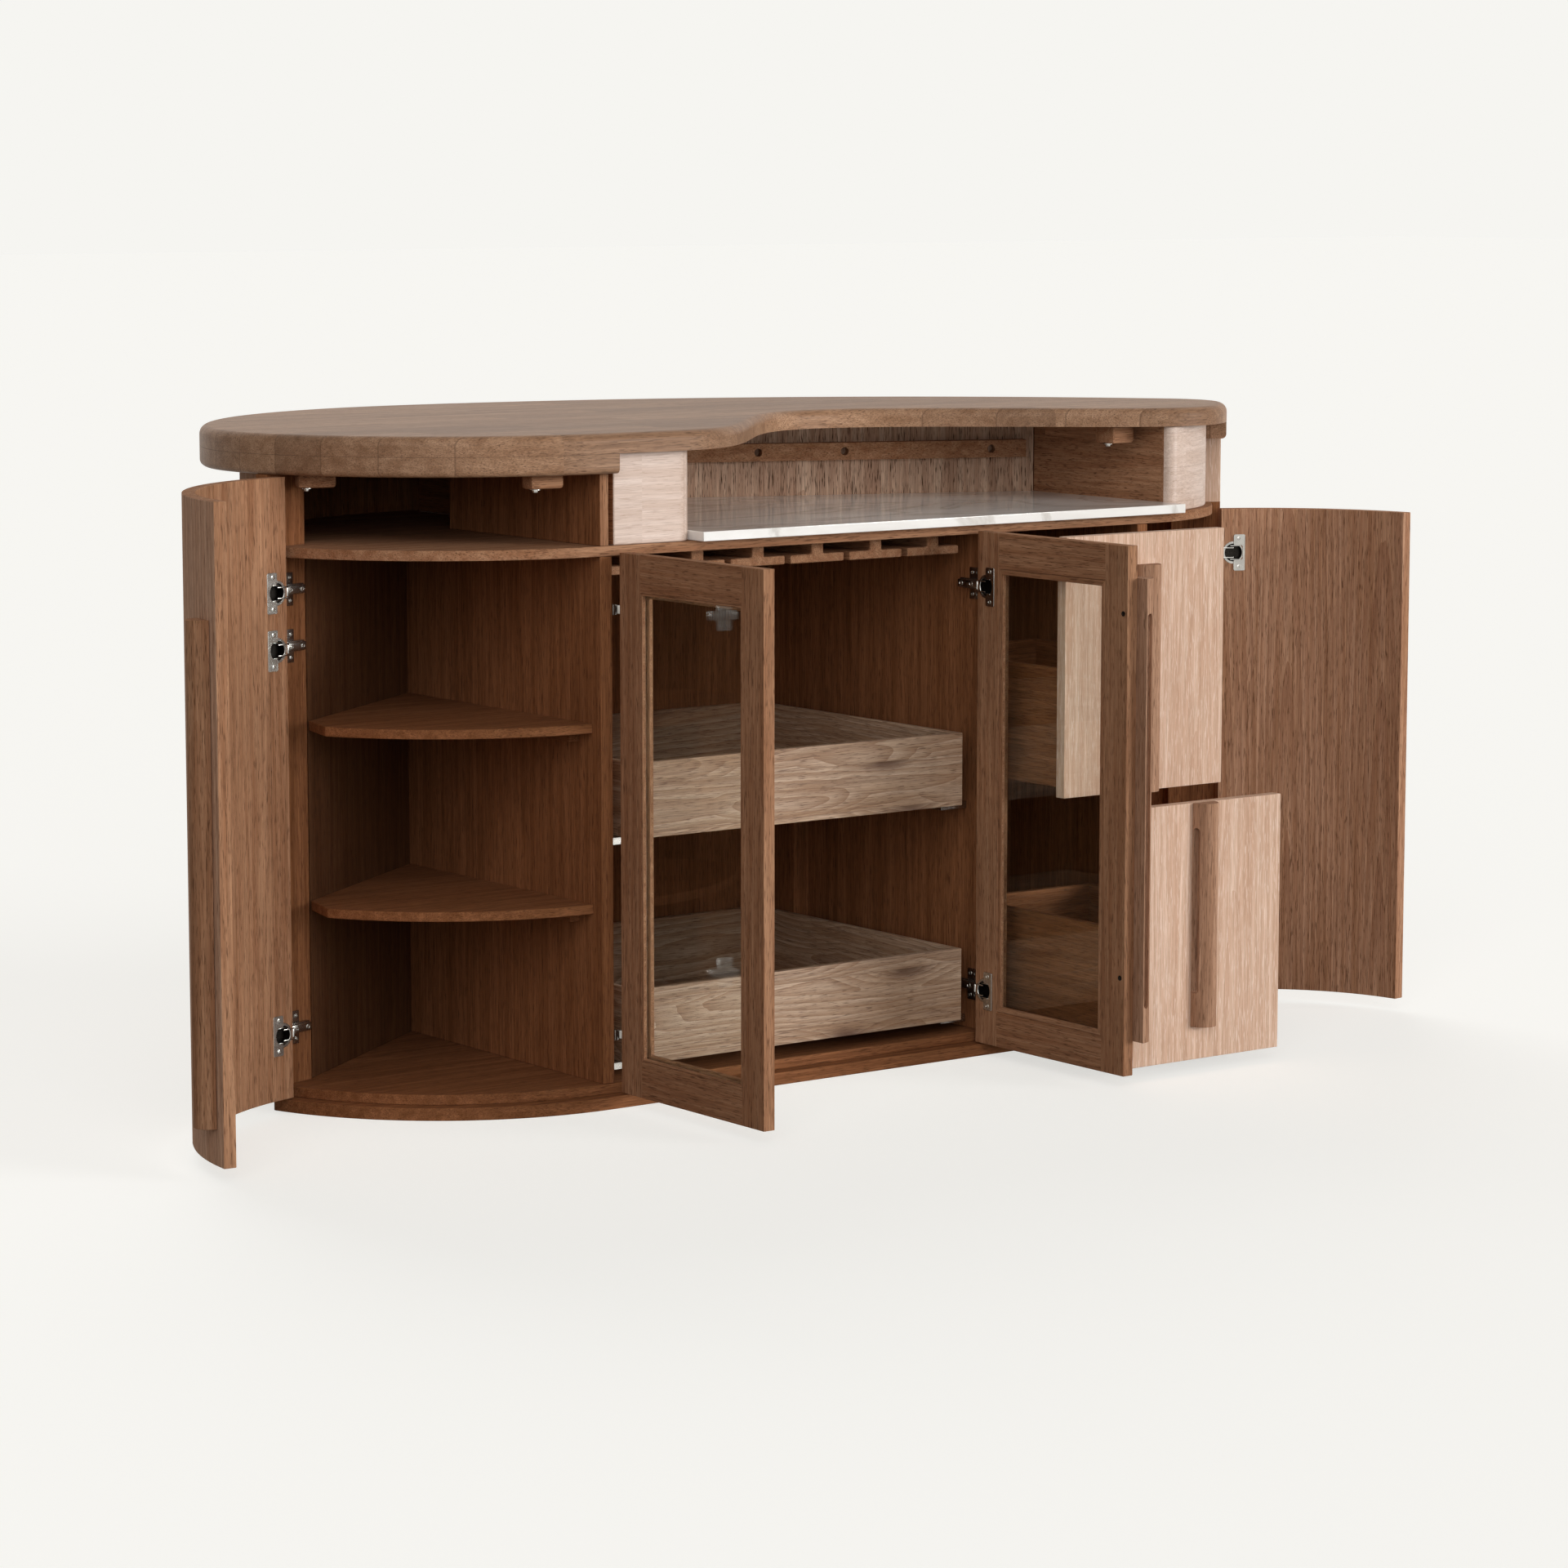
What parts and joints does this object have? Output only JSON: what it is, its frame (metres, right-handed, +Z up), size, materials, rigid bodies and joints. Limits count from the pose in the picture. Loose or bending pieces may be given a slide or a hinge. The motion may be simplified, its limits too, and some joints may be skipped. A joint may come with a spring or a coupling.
{
  "type": "home bar counter",
  "caption": "Curved home bar counter with an overhanging wooden top, a pale stone worktop niche, glazed and curved doors, drawers, pull-out trays and stemware rails.",
  "frame": {"origin": "underside of the plinth, in the middle of the glazed bay's width and 0.42 m behind the door faces", "axes": "+X along the counter to the drawers' side, +Y from the server's side to the guests' side, +Z up"},
  "size_m": [2.3819, 1.3002, 1.05],
  "materials": {
    "oak_veneer": "satin",
    "oak_interior": "satin",
    "oak_top": "satin",
    "mango_wood": "satin",
    "pale_marble": "polished stone",
    "glass": "clear",
    "nickel_steel": "nickel plated"
  },
  "bodies": {
    "carcass": {"plinth": "oak_veneer", "bottom_panel": "oak_interior", "mid_panel": "oak_veneer", "customer_panel": "oak_veneer", "left_post": "oak_veneer", "right_post": "oak_veneer", "partition_left": "oak_interior", "partition_middle": "oak_interior", "partition_right": "oak_interior", "main_back_panel": "oak_interior", "left_back_panel": "oak_interior", "shelf_upper": "oak_interior", "shelf_lower": "oak_interior", "shelf_cleat_upper": "oak_interior", "shelf_cleat_lower": "oak_interior", "stone_worktop": "pale_marble", "niche_back": "oak_veneer", "niche_rail": "oak_veneer", "left_end_panel": "oak_veneer", "right_end_panel": "oak_veneer", "upper_partition": "oak_veneer", "countertop": "oak_top", "countertop_lip": "oak_top", "stemware_rail_1": "oak_veneer", "stemware_rail_2": "oak_veneer", "stemware_rail_3": "oak_veneer", "stemware_rail_4": "oak_veneer", "stemware_rail_5": "oak_veneer", "stemware_rail_6": "oak_veneer", "tray_carrier_left": "nickel_steel", "tray_carrier_right": "nickel_steel", "drawer_carrier_left": "nickel_steel", "drawer_carrier_right": "nickel_steel", "glass_door_left_hinge_low": "nickel_steel", "glass_door_left_hinge_high": "nickel_steel", "glass_door_right_hinge_low": "nickel_steel", "glass_door_right_hinge_high": "nickel_steel", "left_door_hinge_low": "nickel_steel", "left_door_hinge_high": "nickel_steel", "right_door_hinge_low": "nickel_steel", "right_door_hinge_high": "nickel_steel"},
    "left_door": {"left_door": "oak_veneer", "left_door_handle": "oak_veneer"},
    "right_door": {"right_door": "oak_veneer", "right_door_handle": "oak_veneer"},
    "glass_door_left": {"glass_door_left_frame": "oak_veneer", "glass_door_left_pane": "glass"},
    "glass_door_right": {"glass_door_right_frame": "oak_veneer", "glass_door_right_pane": "glass", "glass_door_right_handle": "oak_veneer"},
    "drawer_lower": {"drawer_lower_front": "oak_veneer", "drawer_lower_box": "oak_interior", "drawer_lower_handle": "oak_veneer"},
    "drawer_upper": {"drawer_upper_front": "oak_veneer", "drawer_upper_box": "oak_interior", "drawer_upper_handle": "oak_veneer"},
    "tray_lower": {"tray_lower_front": "mango_wood", "tray_lower_box": "mango_wood"},
    "tray_upper": {"tray_upper_front": "mango_wood", "tray_upper_box": "mango_wood"}
  },
  "joints": [
    {"name": "left_door_hinge", "type": "hinge", "parent": "carcass", "child": "left_door", "pos_m": [-0.80993, -0.12343, 0.444], "axis": [0, 0, -1], "range_deg": [-95, 15]},
    {"name": "right_door_hinge", "type": "hinge", "parent": "carcass", "child": "right_door", "pos_m": [1.00648, -0.26871, 0.444], "axis": [0, 0, 1], "range_deg": [-98, 12]},
    {"name": "glass_door_left_hinge", "type": "hinge", "parent": "carcass", "child": "glass_door_left", "pos_m": [-0.364, -0.42, 0.444], "axis": [0, 0, -1], "range_deg": [-90, 0]},
    {"name": "glass_door_right_hinge", "type": "hinge", "parent": "carcass", "child": "glass_door_right", "pos_m": [0.364, -0.42, 0.444], "axis": [0, 0, 1], "range_deg": [-90, 0]},
    {"name": "drawer_lower_slide", "type": "slide", "parent": "carcass", "child": "drawer_lower", "axis": [0, -1, 0], "range_m": [-0.32, 0]},
    {"name": "drawer_upper_slide", "type": "slide", "parent": "carcass", "child": "drawer_upper", "axis": [0, -1, 0], "range_m": [-0.175, 0.145]},
    {"name": "tray_lower_slide", "type": "slide", "parent": "carcass", "child": "tray_lower", "axis": [0, -1, 0], "range_m": [0, 0.46]},
    {"name": "tray_upper_slide", "type": "slide", "parent": "carcass", "child": "tray_upper", "axis": [0, -1, 0], "range_m": [0, 0.46]}
  ]
}
